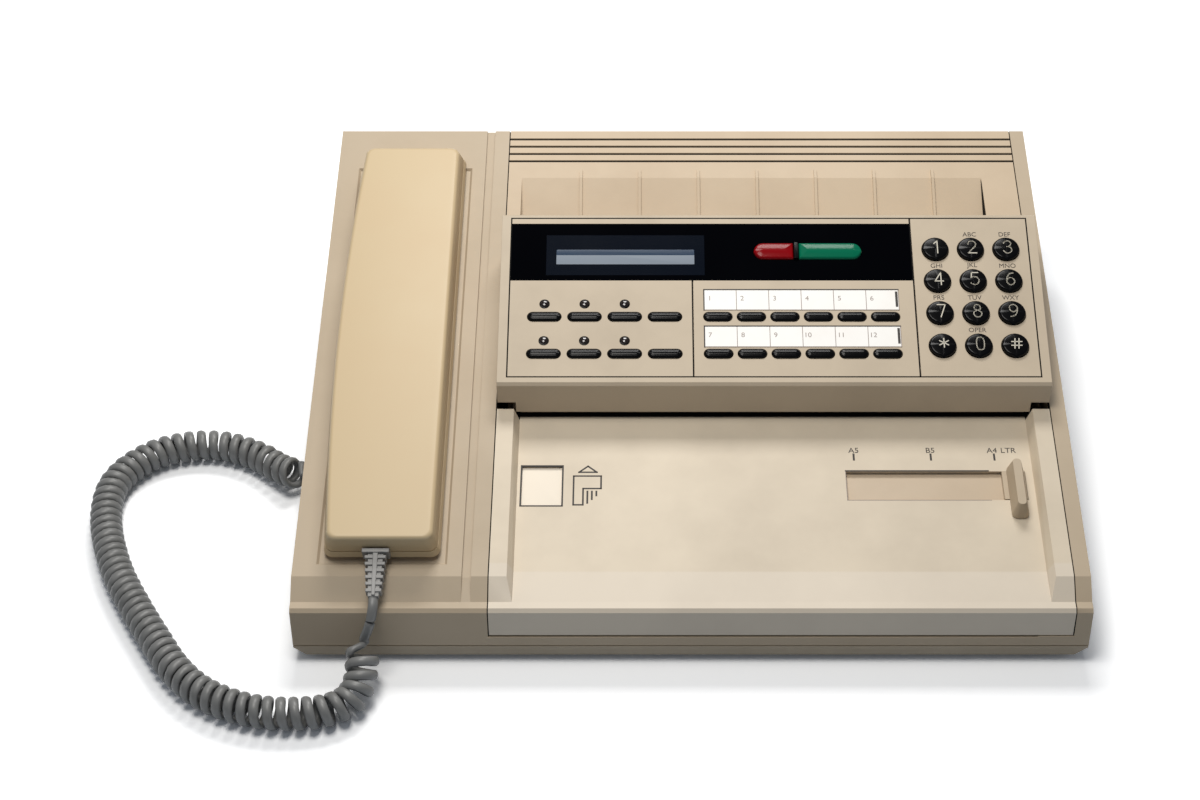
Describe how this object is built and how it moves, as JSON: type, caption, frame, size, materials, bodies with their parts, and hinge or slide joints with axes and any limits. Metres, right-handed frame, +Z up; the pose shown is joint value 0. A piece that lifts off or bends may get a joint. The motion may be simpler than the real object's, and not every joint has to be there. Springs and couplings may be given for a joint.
{
  "type": "fax machine",
  "caption": "Desktop fax machine with a corded handset on its left, a hinged control panel with display and keypad, a hinged document table and a ribbed paper ramp.",
  "frame": {"origin": "on the table top, under the middle of the case", "axes": "+Z up, +Y towards the back, +X to the right seen from the front"},
  "size_m": [0.4378, 0.3182, 0.094],
  "materials": {
    "case": "fine textured moulding, warm grey beige",
    "panel": "fine textured moulding, slightly lighter beige",
    "handset": "smooth moulding, warmer beige",
    "window": "glossy near-black",
    "label": "white paper under clear film",
    "board": "green circuit board with black parts",
    "cord": "grey flexible plastic",
    "hook": "off-white moulding",
    "foot": "dark rubber",
    "screw": "zinc-plated",
    "metal_box": "plain sheet",
    "steel": "plain sheet and motor can",
    "paper": "thermal paper, white",
    "roller": "black rubber on a steel shaft",
    "key": "black keys",
    "stop": "red key",
    "start": "green key"
  },
  "bodies": {
    "case": {"base_pan": "case", "upper_case": "case", "rear_cover": "case", "rubber_feet": "foot", "case_screws": "screw", "main_board": "board", "power_supply": "metal_box", "image_sensor": "window", "thermal_head": "metal_box", "drive_unit": "steel", "cord_lead": "cord", "cord_coil": "cord"},
    "handset": {"handset_upper_shell": "handset", "handset_lower_shell": "handset", "strain_relief": "cord"},
    "hook": {"hook_plunger": "hook"},
    "control_panel": {"panel_housing": "panel", "key_plate": "panel", "display_window": "window", "label_strips": "label", "panel_board": "board"},
    "table": {"document_table": "case"},
    "guide": {"width_guide": "case"},
    "paper": {"paper_roll": "paper"},
    "platen": {"platen_roller": "roller"},
    "feed": {"feed_roller": "roller"},
    "keypad_key_1_body": {"keypad_key_1": "key"},
    "keypad_key_2_body": {"keypad_key_2": "key"},
    "keypad_key_3_body": {"keypad_key_3": "key"},
    "keypad_key_4_body": {"keypad_key_4": "key"},
    "keypad_key_5_body": {"keypad_key_5": "key"},
    "keypad_key_6_body": {"keypad_key_6": "key"},
    "keypad_key_7_body": {"keypad_key_7": "key"},
    "keypad_key_8_body": {"keypad_key_8": "key"},
    "keypad_key_9_body": {"keypad_key_9": "key"},
    "keypad_key_10_body": {"keypad_key_10": "key"},
    "keypad_key_11_body": {"keypad_key_11": "key"},
    "keypad_key_12_body": {"keypad_key_12": "key"},
    "function_key_1_body": {"function_key_1": "key"},
    "function_key_2_body": {"function_key_2": "key"},
    "function_key_3_body": {"function_key_3": "key"},
    "function_key_4_body": {"function_key_4": "key"},
    "function_key_5_body": {"function_key_5": "key"},
    "function_key_6_body": {"function_key_6": "key"},
    "function_key_7_body": {"function_key_7": "key"},
    "function_key_8_body": {"function_key_8": "key"},
    "one_touch_key_1_body": {"one_touch_key_1": "key"},
    "one_touch_key_2_body": {"one_touch_key_2": "key"},
    "one_touch_key_3_body": {"one_touch_key_3": "key"},
    "one_touch_key_4_body": {"one_touch_key_4": "key"},
    "one_touch_key_5_body": {"one_touch_key_5": "key"},
    "one_touch_key_6_body": {"one_touch_key_6": "key"},
    "one_touch_key_7_body": {"one_touch_key_7": "key"},
    "one_touch_key_8_body": {"one_touch_key_8": "key"},
    "one_touch_key_9_body": {"one_touch_key_9": "key"},
    "one_touch_key_10_body": {"one_touch_key_10": "key"},
    "one_touch_key_11_body": {"one_touch_key_11": "key"},
    "one_touch_key_12_body": {"one_touch_key_12": "key"},
    "stop_key_body": {"stop_key": "stop"},
    "start_key_body": {"start_key": "start"}
  },
  "joints": [
    {"name": "handset_lift", "type": "slide", "parent": "case", "child": "handset", "axis": [0, -0.1736, 0.9848], "range_m": [0, 0.1]},
    {"name": "hook_rise", "type": "slide", "parent": "case", "child": "hook", "axis": [0, -0.1736, 0.9848], "range_m": [0, 0.004]},
    {"name": "panel_hinge", "type": "hinge", "parent": "case", "child": "control_panel", "pos_m": [0, 0.056, 0.05999], "axis": [-1, 0, 0], "range_deg": [0, 40]},
    {"name": "table_hinge", "type": "hinge", "parent": "case", "child": "table", "pos_m": [0, -0.036, 0.04496], "axis": [-1, 0, 0], "range_deg": [0, 60]},
    {"name": "guide_slide", "type": "slide", "parent": "table", "child": "guide", "axis": [-1, 0, 0], "range_m": [0, 0.068]},
    {"name": "platen_spin", "type": "hinge", "parent": "case", "child": "platen", "pos_m": [0, -0.014, 0.027], "axis": [1, 0, 0], "continuous": true},
    {"name": "feed_spin", "type": "hinge", "parent": "case", "child": "feed", "pos_m": [0, -0.002, 0.04108], "axis": [1, 0, 0], "continuous": true},
    {"name": "roll_spin", "type": "hinge", "parent": "case", "child": "paper", "pos_m": [0, -0.069, 0.0194], "axis": [1, 0, 0], "continuous": true},
    {"name": "keypad_key_1_press", "type": "slide", "parent": "control_panel", "child": "keypad_key_1_body", "axis": [0, 0.3256, -0.9455], "range_m": [0, 0.0015], "stiffness_N_per_m": 300, "springref_m": -0.0006},
    {"name": "keypad_key_2_press", "type": "slide", "parent": "control_panel", "child": "keypad_key_2_body", "axis": [0, 0.3256, -0.9455], "range_m": [0, 0.0015], "stiffness_N_per_m": 300, "springref_m": -0.0006},
    {"name": "keypad_key_3_press", "type": "slide", "parent": "control_panel", "child": "keypad_key_3_body", "axis": [0, 0.3256, -0.9455], "range_m": [0, 0.0015], "stiffness_N_per_m": 300, "springref_m": -0.0006},
    {"name": "keypad_key_4_press", "type": "slide", "parent": "control_panel", "child": "keypad_key_4_body", "axis": [0, 0.3256, -0.9455], "range_m": [0, 0.0015], "stiffness_N_per_m": 300, "springref_m": -0.0006},
    {"name": "keypad_key_5_press", "type": "slide", "parent": "control_panel", "child": "keypad_key_5_body", "axis": [0, 0.3256, -0.9455], "range_m": [0, 0.0015], "stiffness_N_per_m": 300, "springref_m": -0.0006},
    {"name": "keypad_key_6_press", "type": "slide", "parent": "control_panel", "child": "keypad_key_6_body", "axis": [0, 0.3256, -0.9455], "range_m": [0, 0.0015], "stiffness_N_per_m": 300, "springref_m": -0.0006},
    {"name": "keypad_key_7_press", "type": "slide", "parent": "control_panel", "child": "keypad_key_7_body", "axis": [0, 0.3256, -0.9455], "range_m": [0, 0.0015], "stiffness_N_per_m": 300, "springref_m": -0.0006},
    {"name": "keypad_key_8_press", "type": "slide", "parent": "control_panel", "child": "keypad_key_8_body", "axis": [0, 0.3256, -0.9455], "range_m": [0, 0.0015], "stiffness_N_per_m": 300, "springref_m": -0.0006},
    {"name": "keypad_key_9_press", "type": "slide", "parent": "control_panel", "child": "keypad_key_9_body", "axis": [0, 0.3256, -0.9455], "range_m": [0, 0.0015], "stiffness_N_per_m": 300, "springref_m": -0.0006},
    {"name": "keypad_key_10_press", "type": "slide", "parent": "control_panel", "child": "keypad_key_10_body", "axis": [0, 0.3256, -0.9455], "range_m": [0, 0.0015], "stiffness_N_per_m": 300, "springref_m": -0.0006},
    {"name": "keypad_key_11_press", "type": "slide", "parent": "control_panel", "child": "keypad_key_11_body", "axis": [0, 0.3256, -0.9455], "range_m": [0, 0.0015], "stiffness_N_per_m": 300, "springref_m": -0.0006},
    {"name": "keypad_key_12_press", "type": "slide", "parent": "control_panel", "child": "keypad_key_12_body", "axis": [0, 0.3256, -0.9455], "range_m": [0, 0.0015], "stiffness_N_per_m": 300, "springref_m": -0.0006},
    {"name": "function_key_1_press", "type": "slide", "parent": "control_panel", "child": "function_key_1_body", "axis": [0, 0.3256, -0.9455], "range_m": [0, 0.0015], "stiffness_N_per_m": 300, "springref_m": -0.0006},
    {"name": "function_key_2_press", "type": "slide", "parent": "control_panel", "child": "function_key_2_body", "axis": [0, 0.3256, -0.9455], "range_m": [0, 0.0015], "stiffness_N_per_m": 300, "springref_m": -0.0006},
    {"name": "function_key_3_press", "type": "slide", "parent": "control_panel", "child": "function_key_3_body", "axis": [0, 0.3256, -0.9455], "range_m": [0, 0.0015], "stiffness_N_per_m": 300, "springref_m": -0.0006},
    {"name": "function_key_4_press", "type": "slide", "parent": "control_panel", "child": "function_key_4_body", "axis": [0, 0.3256, -0.9455], "range_m": [0, 0.0015], "stiffness_N_per_m": 300, "springref_m": -0.0006},
    {"name": "function_key_5_press", "type": "slide", "parent": "control_panel", "child": "function_key_5_body", "axis": [0, 0.3256, -0.9455], "range_m": [0, 0.0015], "stiffness_N_per_m": 300, "springref_m": -0.0006},
    {"name": "function_key_6_press", "type": "slide", "parent": "control_panel", "child": "function_key_6_body", "axis": [0, 0.3256, -0.9455], "range_m": [0, 0.0015], "stiffness_N_per_m": 300, "springref_m": -0.0006},
    {"name": "function_key_7_press", "type": "slide", "parent": "control_panel", "child": "function_key_7_body", "axis": [0, 0.3256, -0.9455], "range_m": [0, 0.0015], "stiffness_N_per_m": 300, "springref_m": -0.0006},
    {"name": "function_key_8_press", "type": "slide", "parent": "control_panel", "child": "function_key_8_body", "axis": [0, 0.3256, -0.9455], "range_m": [0, 0.0015], "stiffness_N_per_m": 300, "springref_m": -0.0006},
    {"name": "one_touch_key_1_press", "type": "slide", "parent": "control_panel", "child": "one_touch_key_1_body", "axis": [0, 0.3256, -0.9455], "range_m": [0, 0.0015], "stiffness_N_per_m": 300, "springref_m": -0.0006},
    {"name": "one_touch_key_2_press", "type": "slide", "parent": "control_panel", "child": "one_touch_key_2_body", "axis": [0, 0.3256, -0.9455], "range_m": [0, 0.0015], "stiffness_N_per_m": 300, "springref_m": -0.0006},
    {"name": "one_touch_key_3_press", "type": "slide", "parent": "control_panel", "child": "one_touch_key_3_body", "axis": [0, 0.3256, -0.9455], "range_m": [0, 0.0015], "stiffness_N_per_m": 300, "springref_m": -0.0006},
    {"name": "one_touch_key_4_press", "type": "slide", "parent": "control_panel", "child": "one_touch_key_4_body", "axis": [0, 0.3256, -0.9455], "range_m": [0, 0.0015], "stiffness_N_per_m": 300, "springref_m": -0.0006},
    {"name": "one_touch_key_5_press", "type": "slide", "parent": "control_panel", "child": "one_touch_key_5_body", "axis": [0, 0.3256, -0.9455], "range_m": [0, 0.0015], "stiffness_N_per_m": 300, "springref_m": -0.0006},
    {"name": "one_touch_key_6_press", "type": "slide", "parent": "control_panel", "child": "one_touch_key_6_body", "axis": [0, 0.3256, -0.9455], "range_m": [0, 0.0015], "stiffness_N_per_m": 300, "springref_m": -0.0006},
    {"name": "one_touch_key_7_press", "type": "slide", "parent": "control_panel", "child": "one_touch_key_7_body", "axis": [0, 0.3256, -0.9455], "range_m": [0, 0.0015], "stiffness_N_per_m": 300, "springref_m": -0.0006},
    {"name": "one_touch_key_8_press", "type": "slide", "parent": "control_panel", "child": "one_touch_key_8_body", "axis": [0, 0.3256, -0.9455], "range_m": [0, 0.0015], "stiffness_N_per_m": 300, "springref_m": -0.0006},
    {"name": "one_touch_key_9_press", "type": "slide", "parent": "control_panel", "child": "one_touch_key_9_body", "axis": [0, 0.3256, -0.9455], "range_m": [0, 0.0015], "stiffness_N_per_m": 300, "springref_m": -0.0006},
    {"name": "one_touch_key_10_press", "type": "slide", "parent": "control_panel", "child": "one_touch_key_10_body", "axis": [0, 0.3256, -0.9455], "range_m": [0, 0.0015], "stiffness_N_per_m": 300, "springref_m": -0.0006},
    {"name": "one_touch_key_11_press", "type": "slide", "parent": "control_panel", "child": "one_touch_key_11_body", "axis": [0, 0.3256, -0.9455], "range_m": [0, 0.0015], "stiffness_N_per_m": 300, "springref_m": -0.0006},
    {"name": "one_touch_key_12_press", "type": "slide", "parent": "control_panel", "child": "one_touch_key_12_body", "axis": [0, 0.3256, -0.9455], "range_m": [0, 0.0015], "stiffness_N_per_m": 300, "springref_m": -0.0006},
    {"name": "stop_key_press", "type": "slide", "parent": "control_panel", "child": "stop_key_body", "axis": [0, 0.3256, -0.9455], "range_m": [0, 0.0015], "stiffness_N_per_m": 300, "springref_m": -0.0006},
    {"name": "start_key_press", "type": "slide", "parent": "control_panel", "child": "start_key_body", "axis": [0, 0.3256, -0.9455], "range_m": [0, 0.0015], "stiffness_N_per_m": 300, "springref_m": -0.0006}
  ],
  "couplings": [
    {"joint": "hook_rise", "follows": "handset_lift", "ratio": 0.04},
    {"joint": "feed_spin", "follows": "platen_spin", "ratio": -1.1765},
    {"joint": "roll_spin", "follows": "platen_spin", "ratio": 0.59259}
  ]
}
